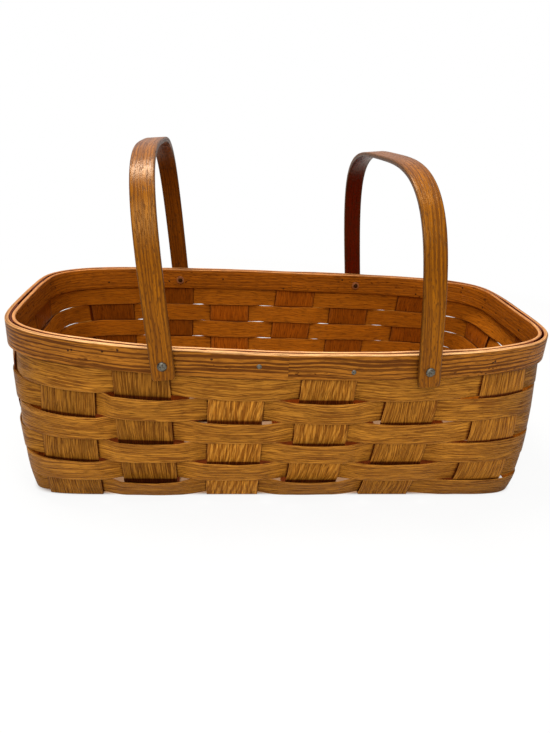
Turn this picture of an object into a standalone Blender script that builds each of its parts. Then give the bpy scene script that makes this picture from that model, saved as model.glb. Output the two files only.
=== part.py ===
"""Oblong splint basket with two swing handles, modelled strip by strip.

Six stakes run across and two run lengthwise. They cross in the bottom, turn up the walls and
end between the two bands of the rim. Six separate hoops weave round the walls, one a row.
Each handle is one bent strip that turns on two rivets through the rim.

Metres. +X runs along the basket, +Y away from its front, +Z up. The origin is at the middle
of the bottom, on the surface that the basket stands on.
"""
import math

import bpy
import numpy as np

# Overall form, to the outer face of the rim. The walls flare out from foot to rim.
rim_half_length = 0.2625
rim_half_width = 0.140
basket_height = 0.1595
end_flare = 0.0250               # from the wall's mean surface at the foot to the rim's outer face
side_flare = 0.0194
rim_sag = 0.0039                 # the rim lies this much lower at its middle than at its ends

# Powers of the outline |x/a|^p + |y/b|^q = 1. The ends rise nearly straight from foot to rim,
# and the sides curve out near the foot and then stand upright.
rim_long_power = 2.02
rim_short_power = 5.4
foot_power = 14.0
corner_rise = 1.4                # how late the corners round off on the way up
end_bulge_power = 1.25
side_bulge_power = 3.8

# Splints: the stakes that stand up, and the hoops that weave round them
stake_width = 0.049
stake_thickness = 0.0012
hoop_thickness = 0.0012
row_count = 6
row_gap = 0.0010
side_weave = 0.0047              # how far a hoop stands off the wall's mean surface over a stake
end_weave = 0.0035               # the same round the ends, where it is pulled tighter
edge_weave_share = 0.62          # the share of it that is left over the stake's edges
held_share = 0.8                 # and at the top hoop's upper edge, which the rim holds
end_start_share = 0.85           # of the half length, from which a stake counts as an end's
row_foot = 0.0008                # the lowest hoop's lower edge, where it passes outside
fit_gap = 0.0003                 # between pieces that touch
corner_step = 0.014              # longest straight stretch of a hoop between stakes
bend_radius = 0.0020             # of a stake where it turns up the wall
stake_top_inset = 0.0016         # stakes end this far below the rim's top

# Where each stake stands, as shares of the half length or half width that it follows
cross_foot_shares = (-0.821, -0.523, -0.206, 0.105, 0.420, 0.791)
cross_front_shares = (-0.747, -0.504, -0.185, 0.131, 0.439, 0.785)
cross_back_shares = (-0.748, -0.464, -0.201, 0.130, 0.403, 0.723)
long_left_shares = (-0.43, 0.264)
long_right_shares = (-0.322, 0.459)

# Rim bands, with scarfed laps
band_width = 0.0244
outer_band_thickness = 0.0040
inner_band_thickness = 0.0035
band_round = 0.0009
round_limit_share = 0.3          # a cut corner takes at most this much of its side
lap_length = 0.070
lap_tip = 0.0005
lap_ramp = 0.008                 # over which the band steps out before it passes over its first end
band_step = 0.016                # longest straight stretch of a band between stakes
outer_lap_share = 0.935          # where the lap starts, as a share of the way round
inner_lap_share = 0.43

# Handles
handle_width = 0.0200
handle_thickness = 0.0044
handle_round = 0.0012
left_rise = 0.1705               # outer face of the bow above the rivets
right_rise = 0.1685
left_tail = 0.0128               # leg below the rivets
right_tail = 0.0145
tail_round = 0.0070              # the leg's end narrows over this length
tail_height_shares = (1.0, 0.4, 0.0)
tail_width_shares = (1.0, 0.88, 0.6)
bow_depth = 0.250                # height of the superellipse that the bow follows
bow_width_power = 3.4
bow_height_power = 5.8
pivot_drop = 0.0133              # rivets below the rim's top
left_pivot_share = -0.428        # places along the basket, as shares of rim_half_length
right_pivot_share = 0.430
left_skew = 0.4                  # degrees, of the line through the two rivets
right_skew = 2.4
left_lean = -5.9                 # degrees from upright, as photographed
right_lean = -6.1
left_twist = 0.0006              # warp of the bow: near its top its back leg is this much further right
right_twist = -0.0033
sweep_reach = 0.026              # the leg passes over the rim band this far inside its rivet

# Rivets
rivet_head_radius = 0.0042
rivet_head_height = 0.0020
rivet_radius = 0.0017
rivet_tail_radius = 0.0027
rivet_tail_height = 0.0011
rivet_tail_share = 0.6           # width of the tail's flat end, of the tail's own
burr_radius = 0.0046
burr_thickness = 0.0009

# Derived sizes
foot_half_length = rim_half_length - end_flare
foot_half_width = rim_half_width - side_flare
left_pivot_place = left_pivot_share * rim_half_length
right_pivot_place = right_pivot_share * rim_half_length
weave_top = basket_height - band_width - fit_gap
stake_level = 1.5 * stake_thickness + fit_gap
over_level = stake_level + stake_thickness + fit_gap
under_level = 0.5 * stake_thickness
weave_foot = stake_level + bend_radius
row_pitch = (weave_top - row_foot) / row_count
wall_to_band = 0.5 * stake_thickness + fit_gap
wall_half_length = rim_half_length - outer_band_thickness - wall_to_band
wall_half_width = rim_half_width - outer_band_thickness - wall_to_band

# Counts, and how finely the meshes follow the curves
outline_points = 160             # in half a quadrant of an outline, to measure along it
handle_points = 22               # along half a handle
screw_steps = 14
bend_steps = 3
dome_angles = (0.0, 30.0, 60.0, 90.0)
sharp_angle = 30.0
across_shares = (-1.0, -0.5, 0.0, 0.5, 1.0)
flat_across_shares = (-1.0, 0.0, 1.0)
flat_stakes = (1, 2, 3, 4)       # cross stakes that stand where the long walls hardly curve


def new_collection(name):
    collection = bpy.data.collections.new(name)
    bpy.context.scene.collection.children.link(collection)
    return collection


def new_material(name, colour, roughness, metallic=0.0):
    material = bpy.data.materials.new(name)
    material.use_nodes = True
    shader = material.node_tree.nodes["Principled BSDF"]
    shader.inputs["Base Color"].default_value = (*colour, 1.0)
    shader.inputs["Roughness"].default_value = roughness
    shader.inputs["Metallic"].default_value = metallic
    material.diffuse_color = (*colour, 1.0)
    return material


def new_object(name, points, faces, material, collection):
    mesh = bpy.data.meshes.new(name)
    mesh.from_pydata([tuple(p) for p in points], [], faces)
    mesh.materials.append(material)
    mesh.shade_smooth()
    mesh.set_sharp_from_angle(angle=math.radians(sharp_angle))
    thing = bpy.data.objects.new(name, mesh)
    collection.objects.link(thing)
    return thing


def half_outline_split(long_power, short_power):
    """The share of both half sizes at which the outline crosses their diagonal."""
    low, high, tolerance = 0.5, 1.0, 1e-9
    while high - low > tolerance:
        middle = 0.5 * (low + high)
        if middle ** long_power + middle ** short_power > 1.0:
            high = middle
        else:
            low = middle
    return low


def quadrant(half_length, half_width, long_power, short_power):
    """Points of |x/a|^p + |y/b|^q = 1 from (0, b) round to (a, 0)."""
    split = half_outline_split(long_power, short_power)
    x1 = np.linspace(0.0, split, outline_points)
    y2 = np.linspace(split, 0.0, outline_points)[1:]
    x = np.concatenate([x1, (1.0 - y2 ** short_power) ** (1.0 / long_power)])
    y = np.concatenate([(1.0 - x1 ** long_power) ** (1.0 / short_power), y2])
    return x * half_length, y * half_width


def wall_form(height):
    """Half length, half width and the two powers of the wall's outline at a height."""
    up = min(max(height / weave_top, 0.0), 1.0)
    end_out = 1.0 - (1.0 - up) ** end_bulge_power
    side_out = 1.0 - (1.0 - up) ** side_bulge_power
    half_length = foot_half_length + (wall_half_length - foot_half_length) * end_out
    half_width = foot_half_width + (wall_half_width - foot_half_width) * side_out
    share = up ** corner_rise
    long_power = 1.0 / ((1.0 - share) / foot_power + share / rim_long_power)
    short_power = 1.0 / ((1.0 - share) / foot_power + share / rim_short_power)
    return half_length, half_width, long_power, short_power


def side_at(x, height):
    """Half width of the wall's mean surface at a place along the basket."""
    a, b, p, q = wall_form(height)
    along = np.minimum(np.abs(x) / a, 1.0)
    return b * (1.0 - along ** p) ** (1.0 / q)


def end_at(y, height):
    """Half length of the wall's mean surface at a place across the basket."""
    a, b, p, q = wall_form(height)
    across = np.minimum(np.abs(y) / b, 1.0)
    return a * (1.0 - across ** q) ** (1.0 / p)


def sagged(x, height):
    """True height of a nominal height, with the rim's sag spread over the wall."""
    share = np.clip(np.abs(x) / rim_half_length, 0.0, 1.0)
    return height - rim_sag * (height / basket_height) * (1.0 - share ** 2)


class Outline:
    """The wall's closed outline at one height, measured along its length from the front's middle."""

    def __init__(self, height):
        x, y = quadrant(*wall_form(height))
        right_x = np.concatenate([x, x[-2::-1]])
        right_y = np.concatenate([-y, y[-2::-1]])
        self.x = np.concatenate([right_x, -right_x[-2::-1]])
        self.y = np.concatenate([right_y, right_y[-2::-1]])
        steps = np.hypot(np.diff(self.x), np.diff(self.y))
        self.along = np.concatenate([[0.0], np.cumsum(steps)])
        self.length = self.along[-1]
        self.along /= self.length
        tangent_x = np.gradient(self.x, self.along)
        tangent_y = np.gradient(self.y, self.along)
        size = np.hypot(tangent_x, tangent_y)
        self.normal_x = tangent_y / size
        self.normal_y = -tangent_x / size
        self.height = height

    def at(self, share, offset=0.0, lift=0.0):
        """Points at shares of the way round, moved out by an offset along the normal and up by a lift."""
        turn = np.mod(share, 1.0)
        x = np.interp(turn, self.along, self.x) + offset * np.interp(turn, self.along, self.normal_x)
        y = np.interp(turn, self.along, self.y) + offset * np.interp(turn, self.along, self.normal_y)
        return np.stack([x, y, sagged(x, self.height + lift)], axis=-1)

    def share_of(self, x, y):
        """Share of the way round of the outline's point nearest to (x, y)."""
        return self.along[np.argmin(np.hypot(self.x - x, self.y - y))]

    def stakes(self, fine=True):
        """For every stake, in turn from the front's middle, the shares of points across it."""
        found = []
        for places in stake_places(self.height, fine):
            shares = np.array([self.share_of(x, y) for x, y in places])
            shares = np.where(shares < shares.max() - 0.5, shares + 1.0, shares)
            found.append(np.sort(shares))
        return sorted(found, key=lambda shares: shares[len(shares) // 2])


def across_parts(index):
    """Where a cross stake's mesh has points over its width, as shares of half the width."""
    return flat_across_shares if index in flat_stakes else across_shares


def stake_places(height, fine):
    """Points across every stake, from edge to edge, where it stands at a height."""
    up = height / basket_height
    places = []
    for i, (foot, front, back) in enumerate(zip(cross_foot_shares, cross_front_shares, cross_back_shares)):
        for side, top in ((-1.0, front), (1.0, back)):
            middle = foot * foot_half_length * (1.0 - up) + top * rim_half_length * up
            parts = across_shares if fine else across_parts(i)
            xs = [middle + part * 0.5 * stake_width for part in parts]
            places.append([(x, side * side_at(x, height)) for x in xs])
    for left, right in zip(long_left_shares, long_right_shares):
        for side, share in ((-1.0, left), (1.0, right)):
            ys = [share * rim_half_width + part * 0.5 * stake_width for part in across_shares]
            places.append([(side * end_at(y, height), y) for y in ys])
    return places


def smooth_through(knots, values, at):
    """Cubic through closed knots, with no overshoot at a peak."""
    knots = np.asarray(knots)
    values = np.asarray(values)
    before = np.concatenate([[knots[-1] - 1.0], knots[:-1]])
    after = np.concatenate([knots[1:], [knots[0] + 1.0]])
    rise_in = (values - np.roll(values, 1)) / (knots - before)
    rise_out = (np.roll(values, -1) - values) / (after - knots)
    same_way = rise_in * rise_out > 0.0
    slope = np.where(same_way, 2.0 * rise_in * rise_out / np.where(same_way, rise_in + rise_out, 1.0), 0.0)
    turned = np.mod(at - knots[0], 1.0) + knots[0]
    index = np.clip(np.searchsorted(knots, turned, side="right") - 1, 0, len(knots) - 1)
    start, end = knots[index], after[index]
    t = (turned - start) / (end - start)
    width = end - start
    next_index = (index + 1) % len(knots)
    return ((2 * t ** 3 - 3 * t ** 2 + 1) * values[index] + (t ** 3 - 2 * t ** 2 + t) * width * slope[index]
            + (3 * t ** 2 - 2 * t ** 3) * values[next_index] + (t ** 3 - t ** 2) * width * slope[next_index])


def strip(name, grid, thickness, closed, material, collection):
    """A splint: rows of points across a strip, joined along it and thickened both ways."""
    rows, across = grid.shape[:2]
    faces = []
    for i in range(rows if closed else rows - 1):
        for j in range(across - 1):
            a, b = i * across + j, ((i + 1) % rows) * across + j
            faces.append((a, a + 1, b + 1, b))
    thing = new_object(name, grid.reshape(-1, 3), faces, material, collection)
    shell = thing.modifiers.new("splint", "SOLIDIFY")
    shell.thickness = thickness
    shell.offset = 0.0
    shell.use_even_offset = True
    return thing


def loft(name, sections, material, collection):
    """A solid through unlike sections, each a ring of points, with a cap at both ends."""
    count, ring = sections.shape[:2]
    faces = []
    for i in range(count - 1):
        for j in range(ring):
            k = (j + 1) % ring
            faces.append((i * ring + j, i * ring + k, (i + 1) * ring + k, (i + 1) * ring + j))
    faces.append(tuple(range(ring - 1, -1, -1)))
    faces.append(tuple((count - 1) * ring + j for j in range(ring)))
    return new_object(name, sections.reshape(-1, 3), faces, material, collection)


def rounded_section(low_u, high_u, low_v, high_v, corner):
    """Ring of a rectangle with cut corners, as pairs (u, v)."""
    cut_u = min(corner, round_limit_share * (high_u - low_u))
    cut_v = min(corner, round_limit_share * (high_v - low_v))
    return [(low_u, low_v + cut_v), (low_u, high_v - cut_v), (low_u + cut_u, high_v),
            (high_u - cut_u, high_v), (high_u, high_v - cut_v), (high_u, low_v + cut_v),
            (high_u - cut_u, low_v), (low_u + cut_u, low_v)]


def corner_path(wall_point, foot_point):
    """Points of a stake's bend, from the wall's lowest point to the bottom."""
    corner = np.array([wall_point[0], wall_point[1], foot_point[2]])
    steps = np.arange(1, bend_steps + 1) / bend_steps
    return [(1 - t) ** 2 * wall_point + 2 * t * (1 - t) * corner + t ** 2 * foot_point for t in steps]


def stake_heights():
    """Heights at which a stake's mesh has points: its top and each edge between rows."""
    rows = [weave_top - row_pitch * i for i in range(row_count)]
    return [basket_height - stake_top_inset] + rows + [weave_foot]


def make_cross_stake(index, material, collection):
    """A strip down the front, across the bottom and up the back."""
    foot = cross_foot_shares[index] * foot_half_length
    columns = []
    for part in across_parts(index):
        edge = part * 0.5 * stake_width
        column = []
        for side, top in ((-1.0, cross_front_shares[index]), (1.0, cross_back_shares[index])):
            leg = []
            for height in stake_heights():
                up = height / basket_height
                x = foot * (1.0 - up) + top * rim_half_length * up + edge
                leg.append(np.array([x, side * side_at(x, height), sagged(x, height)]))
            y = leg[-1][1] - side * bend_radius
            leg += corner_path(leg[-1], np.array([foot + edge, y, stake_level]))
            column += leg if side < 0 else leg[::-1]
        columns.append(column)
    grid = np.array(columns).transpose(1, 0, 2)
    return strip(f"cross_stake_{index + 1}", grid, stake_thickness, False, material, collection)


def make_long_stake(index, name, material, collection):
    """A strip down the left end, over and under the cross stakes and up the right end."""
    left = long_left_shares[index] * rim_half_width
    right = long_right_shares[index] * rim_half_width
    columns = []
    for part in across_shares:
        edge = part * 0.5 * stake_width
        ends = []
        for side, y in ((-1.0, left + edge), (1.0, right + edge)):
            leg = [np.array([side * end_at(y, height), y, 0.0]) for height in stake_heights()]
            for point, height in zip(leg, stake_heights()):
                point[2] = sagged(point[0], height)
            leg += corner_path(leg[-1], np.array([leg[-1][0] - side * bend_radius, y, stake_level]))
            ends.append(leg)
        bottom = []
        for i, foot in enumerate(cross_foot_shares):
            level = under_level if (i + index) % 2 == 0 else over_level
            for side in (-1.0, 1.0):
                x = foot * foot_half_length + side * (0.5 * stake_width + fit_gap)
                along = 0.5 + 0.5 * x / foot_half_length
                bottom.append(np.array([x, left + (right - left) * along + edge, level]))
        columns.append(ends[0] + bottom + ends[1][::-1])
    grid = np.array(columns).transpose(1, 0, 2)
    return strip(name, grid, stake_thickness, False, material, collection)


def gap_after(stakes, index):
    """Share of the way round from a stake's far edge to the next stake's near edge."""
    following = stakes[(index + 1) % len(stakes)][0]
    return np.mod(following - stakes[index][-1], 1.0)


def hoop_edge(height, row, gap_pieces, held, lift):
    """One edge of a hoop: its points round the wall, out of and in from the mean surface by turns.

    The rim holds it to a share of its weave, and it lies higher by the lift where it passes inside.
    """
    outline = Outline(height)
    stakes = outline.stakes()
    knots, offsets, lifts, stations = [], [], [], []
    for i, stake in enumerate(stakes):
        out = -1.0 if (i + row) % 2 == 0 else 1.0
        middle = stake[len(stake) // 2]
        at_end = abs(outline.at(middle)[0]) > end_start_share * outline.x.max()
        weave = out * held * (end_weave if at_end else side_weave)
        gap = gap_after(stakes, i)
        knots += [stake[0], middle, stake[-1], stake[-1] + 0.5 * gap]
        offsets += [edge_weave_share * weave, weave, edge_weave_share * weave, 0.0]
        inside = 0.5 - 0.5 * out
        lifts += [inside * lift, inside * lift, inside * lift, 0.5 * lift]
        stations += list(stake)
        stations += [stake[-1] + gap * k / gap_pieces[i] for k in range(1, gap_pieces[i])]
    stations = np.array(stations)
    return outline.at(stations, smooth_through(knots, offsets, stations), smooth_through(knots, lifts, stations))


def make_hoop(row, material, collection):
    """One woven row: a closed strip that passes inside and outside the stakes by turns."""
    top = weave_top - row * row_pitch - 0.5 * row_gap
    bottom = top - row_pitch + row_gap
    middle = Outline(0.5 * (top + bottom))
    stakes = middle.stakes()
    gaps = [gap_after(stakes, i) * middle.length for i in range(len(stakes))]
    pieces = [2 * max(1, round(0.5 * gap / corner_step)) for gap in gaps]
    held = held_share if row == 0 else 1.0
    lift = weave_foot - bottom if row == row_count - 1 else 0.0
    grid = np.stack([hoop_edge(bottom, row, pieces, 1.0, lift), hoop_edge(top, row, pieces, held, 0.0)], axis=1)
    return strip(f"weaver_hoop_{row + 1}", grid, hoop_thickness, True, material, collection)


def rim_stations(ring, lap_share, lap, ramp):
    """Shares of the way round at which a band has sections, from its first end to its last."""
    stakes = ring.stakes(fine=False)
    found = []
    for i, stake in enumerate(stakes):
        gap = gap_after(stakes, i)
        pieces = max(1, round(gap * ring.length / band_step))
        found += list(stake) + [stake[-1] + gap * k / pieces for k in range(1, pieces)]
    turns = np.mod(np.array(found) - lap_share, 1.0)
    fixed = np.array([0.0, lap, 1.0 - ramp, 1.0, 1.0 + lap])
    turns = np.concatenate([turns, 1.0 + turns[turns < lap]])
    near_fixed = np.abs(turns[:, None] - fixed).min(axis=1) * ring.length < 0.1 * band_step
    return np.sort(np.concatenate([turns[~near_fixed], fixed]))


def make_band(name, side, thickness, lap_share, material, collection):
    """A rim band against the stakes, outside or inside: one strip whose tapered ends lap."""
    ring = Outline(basket_height)
    lap = lap_length / ring.length
    ramp = lap_ramp / ring.length
    low, high = basket_height - band_width, basket_height
    step = lap_tip + fit_gap
    sections = []
    for turn in rim_stations(ring, lap_share, lap, ramp):
        near, far = 0.0, thickness
        if turn < lap:
            far = lap_tip + (thickness - lap_tip) * turn / lap
        rise = step * min(max((turn - 1.0 + ramp) / ramp, 0.0), 1.0)
        past = max(turn - 1.0, 0.0) / lap
        near += rise + (thickness - lap_tip) * past
        far += rise
        section = []
        for u, v in rounded_section(near, far, low, high, band_round):
            point = ring.at(lap_share + turn, side * (wall_to_band + u))
            point[2] = sagged(point[0], v)
            section.append(point)
        sections.append(section if side < 0 else section[::-1])
    return loft(name, np.array(sections), material, collection)


def pivot_height(place):
    return float(sagged(place, basket_height - pivot_drop))


def rim_slope(x):
    """How much the long wall's rim turns towards the end, as a rise over a run."""
    reach = burr_radius
    return abs(side_at(x + reach, basket_height) - side_at(x - reach, basket_height)) / (2.0 * reach)


def band_face(x, offset):
    """Distance from the middle line to a face of a rim band, offset square to the wall."""
    return side_at(x, basket_height) + offset * math.hypot(1.0, rim_slope(x))


def leg_inner_face(place, skew):
    """Half distance between a handle's legs, clear of the rim band that they sweep over."""
    inward = abs(place) - sweep_reach - 0.5 * outer_band_thickness
    band = band_face(inward, wall_to_band + outer_band_thickness)
    return band + fit_gap + sweep_reach * math.sin(math.radians(abs(skew)))


def bow_line(outer, rise, tail):
    """Half a handle from its top round to its tail: outer face, inward normal, share of the width."""
    y, z = quadrant(outer, bow_depth, bow_width_power, bow_height_power)
    z = z + rise - bow_depth
    above = z > 1.5 * tail_round - tail
    y, z = y[above], z[above]
    steps = np.linspace(0, len(y) - 1, handle_points).astype(int)
    y, z = y[steps], z[steps]
    dy, dz = np.gradient(y), np.gradient(z)
    size = np.hypot(dy, dz)
    bow = np.stack([y, z, dz / size, -dy / size, np.ones(len(y))], axis=1)
    end = [(outer, tail_round * up - tail, -1.0, 0.0, wide)
           for up, wide in zip(tail_height_shares, tail_width_shares)]
    return np.concatenate([bow, end])


def make_handle(name, place, bend, material, collection):
    """A bent strip on a hinge line through its two rivets. Returns it and the line's empty."""
    skew, lean, rise, tail, twist = bend
    line = bpy.data.objects.new(name + "_line", None)
    line.location = (place, 0.0, pivot_height(place))
    line.rotation_euler = (0.0, 0.0, math.radians(skew))
    collection.objects.link(line)
    outer = leg_inner_face(place, skew) + handle_thickness
    half = bow_line(outer, rise, tail)
    other_half = half[:0:-1] * np.array([-1.0, 1.0, -1.0, 1.0, 1.0])
    sections = []
    for y, z, inward_y, inward_z, wide in np.concatenate([other_half, half]):
        edge = 0.5 * handle_width * wide
        warp = twist * (y / outer) * max(z, 0.0) / rise
        section = rounded_section(warp - edge, warp + edge, 0.0, handle_thickness, handle_round)
        sections.append([(u, y + v * inward_y, z + v * inward_z) for u, v in section])
    handle = loft(name, np.array(sections), material, collection)
    handle.parent = line
    handle.rotation_euler = (0.0, math.radians(lean), 0.0)
    return handle, line


def turned(name, profile, steps, material, collection):
    """A round piece from a profile of (radius, height), top to bottom, round its own Z."""
    points = [(radius, 0.0, height) for radius, height in profile]
    edges = [(i, i + 1) for i in range(len(points) - 1)]
    mesh = bpy.data.meshes.new(name)
    mesh.from_pydata(points, edges, [])
    mesh.materials.append(material)
    thing = bpy.data.objects.new(name, mesh)
    collection.objects.link(thing)
    screw = thing.modifiers.new("turn", "SCREW")
    screw.steps = steps
    screw.render_steps = steps
    screw.use_merge_vertices = True
    screw.merge_threshold = 0.1 * fit_gap
    screw.use_smooth_shade = True
    return thing


def lay_along(thing, line, side, distance):
    """Puts a turned piece on a handle's hinge line, its top facing out of the basket."""
    thing.parent = line
    thing.location = (0.0, side * distance, 0.0)
    thing.rotation_euler = (-side * math.radians(90), 0.0, 0.0)


def make_rivets(prefix, place, skew, line, materials, collection, cutters):
    """Front and back rivet with their burrs, and the drill that clears each."""
    head_seat = leg_inner_face(place, skew) + handle_thickness + fit_gap
    drills = []
    for side, end in ((-1.0, "front"), (1.0, "back")):
        x = place - side * head_seat * math.sin(math.radians(skew))
        inner = band_face(x, -wall_to_band - inner_band_thickness)
        lean_in = burr_radius * (rim_slope(x) + math.sin(math.radians(abs(skew))))
        burr_seat = inner - lean_in - fit_gap
        tail_seat = burr_seat - burr_thickness - fit_gap
        grip = head_seat - tail_seat
        dome = [(rivet_head_radius * math.sin(a), rivet_head_height * math.cos(a))
                for a in np.radians(dome_angles)]
        end_z = -grip - rivet_tail_height
        profile = dome + [(rivet_radius, 0.0), (rivet_radius, -grip), (rivet_tail_radius, -grip),
                          (rivet_tail_share * rivet_tail_radius, end_z), (0.0, end_z)]
        rivet = turned(f"{prefix}_{end}_rivet", profile, screw_steps, materials["rivet"], collection)
        lay_along(rivet, line, side, head_seat)
        bore = rivet_radius + fit_gap
        ring = [(bore, 0.0), (burr_radius, 0.0), (burr_radius, -burr_thickness), (bore, -burr_thickness),
                (bore, 0.0)]
        burr = turned(f"{prefix}_{end}_burr", ring, screw_steps, materials["rivet"], collection)
        lay_along(burr, line, side, burr_seat)
        reach = rivet_head_height
        bolt = [(0.0, reach), (bore, reach), (bore, -grip - reach), (0.0, -grip - reach)]
        drill = turned(f"{prefix}_{end}_drill", bolt, screw_steps, materials["rivet"], cutters)
        lay_along(drill, line, side, head_seat)
        drill.hide_render = True
        drill.display_type = "WIRE"
        drills.append(drill)
    return drills


def drill_through(thing, drills):
    for drill in drills:
        cut = thing.modifiers.new(drill.name, "BOOLEAN")
        cut.operation = "DIFFERENCE"
        cut.solver = "EXACT"
        cut.object = drill


def main():
    for thing in list(bpy.data.objects):
        bpy.data.objects.remove(thing, do_unlink=True)
    basket = new_collection("splint_basket")
    cutters = new_collection("cutters")
    stake = new_material("stake_oak", (0.36, 0.155, 0.036), 0.45)
    hoop = new_material("hoop_oak", (0.33, 0.135, 0.028), 0.42)
    band = new_material("band_oak", (0.31, 0.120, 0.025), 0.40)
    bow = new_material("handle_oak", (0.30, 0.112, 0.020), 0.38)
    metals = {"rivet": new_material("rivet_steel", (0.42, 0.42, 0.43), 0.35, 1.0)}

    stakes = [make_cross_stake(i, stake, basket) for i in range(len(cross_foot_shares))]
    make_long_stake(0, "long_stake_front", stake, basket)
    make_long_stake(1, "long_stake_back", stake, basket)
    for row in range(row_count):
        make_hoop(row, hoop, basket)
    outer = make_band("outer_rim_band", 1.0, outer_band_thickness, outer_lap_share, band, basket)
    inner = make_band("inner_rim_band", -1.0, inner_band_thickness, inner_lap_share, band, basket)

    left_bend = (left_skew, left_lean, left_rise, left_tail, left_twist)
    right_bend = (right_skew, right_lean, right_rise, right_tail, right_twist)
    handles = (("left_handle", left_pivot_place, left_bend, stakes[1]),
               ("right_handle", right_pivot_place, right_bend, stakes[4]))
    for name, place, bend, held in handles:
        handle, line = make_handle(name, place, bend, bow, basket)
        drills = make_rivets(name, place, bend[0], line, metals, basket, cutters)
        for thing in (handle, outer, inner, held):
            drill_through(thing, drills)


main()
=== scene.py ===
import math

import bpy
import numpy as np
from mathutils import Matrix, Vector


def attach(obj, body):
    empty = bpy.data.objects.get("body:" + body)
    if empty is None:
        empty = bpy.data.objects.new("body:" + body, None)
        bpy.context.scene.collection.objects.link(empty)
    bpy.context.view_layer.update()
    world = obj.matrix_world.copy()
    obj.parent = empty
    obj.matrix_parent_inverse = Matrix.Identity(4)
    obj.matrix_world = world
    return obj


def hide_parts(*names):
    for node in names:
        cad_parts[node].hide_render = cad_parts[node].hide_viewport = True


# An oblong oak splint basket with two swing handles. Metres, +Z up, the basket stands at z = 0.
# Every splint is a strip with its own grain, laid along the strip by its UV map.

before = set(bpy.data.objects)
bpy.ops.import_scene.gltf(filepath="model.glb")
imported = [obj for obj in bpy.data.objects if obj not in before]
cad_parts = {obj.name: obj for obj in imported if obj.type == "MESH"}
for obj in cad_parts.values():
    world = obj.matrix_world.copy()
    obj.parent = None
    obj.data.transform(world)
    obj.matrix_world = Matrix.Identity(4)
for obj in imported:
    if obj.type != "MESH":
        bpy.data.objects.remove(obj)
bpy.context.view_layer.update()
print("frame loaded")


# Form of the walls and the rim, the same as the frame's

form = {
    "rimHalfLength": 0.2625,
    "rimHalfWidth": 0.140,
    "height": 0.1595,
    "endFlare": 0.0250,
    "sideFlare": 0.0194,
    "rimSag": 0.0039,
    "rimPowers": (2.02, 5.4),
    "footPower": 14.0,
    "cornerRise": 1.4,  # how late the corners round off on the way up
    "endBulgePower": 1.25,
    "sideBulgePower": 3.8,
    "bandWidth": 0.0244,
    "outerBand": 0.0040,
    "innerBand": 0.0035,
    "splint": 0.0012,  # thickness of stakes and hoops
    "fitGap": 0.0003,
    "bendRadius": 0.0020,  # of a stake where it turns up the wall
    "rows": 6,
    "rowFoot": 0.0008,  # the lowest hoop's lower edge, where it passes outside
    "rowGap": 0.0006,
    "stakeWidth": 0.049,
}
rimTop, rimHalfLength, rimHalfWidth = form["height"], form["rimHalfLength"], form["rimHalfWidth"]
splint, gap, rows = form["splint"], form["fitGap"], form["rows"]
weaveTop = rimTop - form["bandWidth"] - gap
wallToBand = 0.5 * splint + gap
wallHalfLength = rimHalfLength - form["outerBand"] - wallToBand
wallHalfWidth = rimHalfWidth - form["outerBand"] - wallToBand
footHalfLength = rimHalfLength - form["endFlare"]
footHalfWidth = rimHalfWidth - form["sideFlare"]
stakeLevel = 1.5 * splint + gap
weaveFoot = stakeLevel + form["bendRadius"]
rowPitch = (weaveTop - form["rowFoot"]) / rows

stakePlaces = {  # shares of the half length or half width each one follows
    "foot": (-0.821, -0.523, -0.206, 0.105, 0.420, 0.791),
    "front": (-0.747, -0.504, -0.185, 0.131, 0.439, 0.785),
    "back": (-0.748, -0.464, -0.201, 0.130, 0.403, 0.723),
    "left": (-0.43, 0.264),
    "right": (-0.322, 0.459),
}
legCount = 2 * (len(stakePlaces["foot"]) + len(stakePlaces["left"]))

# Seeds of the random draws; a stake, row or leg adds its own number
seeds = {"crossStake": 20, "longStake": 30, "hoop": 40, "outerBand": 60, "innerBand": 61,
         "leftHandle": 70, "rightHandle": 71,
         "cover": 80, "hoopTone": 60, "weave": 200, "hoopEdge": 240}


def clamp(value):
    return np.clip(value, 0.0, 1.0)


# Length along a line of points, from its first
def lengthAlong(points):
    return np.concatenate([[0.0], np.cumsum(np.linalg.norm(np.diff(points, axis=0), axis=1))])


# Half sizes and powers of the wall's outline at a height. With u the height as a share of the
# weave's top, a half size grows by 1 - (1 - u)^k from foot to rim, and 1/power is mixed by u^1.4.
def wallForm(height):
    up = min(max(height / weaveTop, 0.0), 1.0)
    endOut, sideOut = (1.0 - (1.0 - up) ** form[key] for key in ("endBulgePower", "sideBulgePower"))
    halfLength = footHalfLength + (wallHalfLength - footHalfLength) * endOut
    halfWidth = footHalfWidth + (wallHalfWidth - footHalfWidth) * sideOut
    share = up ** form["cornerRise"]
    powers = (1.0 / ((1.0 - share) / form["footPower"] + share / power) for power in form["rimPowers"])
    return halfLength, halfWidth, *powers


# Half width at x, from |x/a|^p + |y/b|^q = 1
def sideAt(x, height):
    a, b, p, q = wallForm(height)
    return b * (1.0 - np.minimum(np.abs(x) / a, 1.0) ** p) ** (1.0 / q)


# Half length at y, from the same outline
def endAt(y, height):
    a, b, p, q = wallForm(height)
    return a * (1.0 - np.minimum(np.abs(y) / b, 1.0) ** q) ** (1.0 / p)


# True height of a nominal height: the rim sags as a parabola towards its middle
def sagged(x, height):
    return height - form["rimSag"] * (height / rimTop) * (1.0 - clamp(np.abs(x) / rimHalfLength) ** 2)


# Middle of a cross stake at a height, on a straight line from its foot to its top
def stakeMiddle(foot, top, height):
    up = height / rimTop
    return foot * footHalfLength * (1.0 - up) + top * rimHalfLength * up


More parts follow.
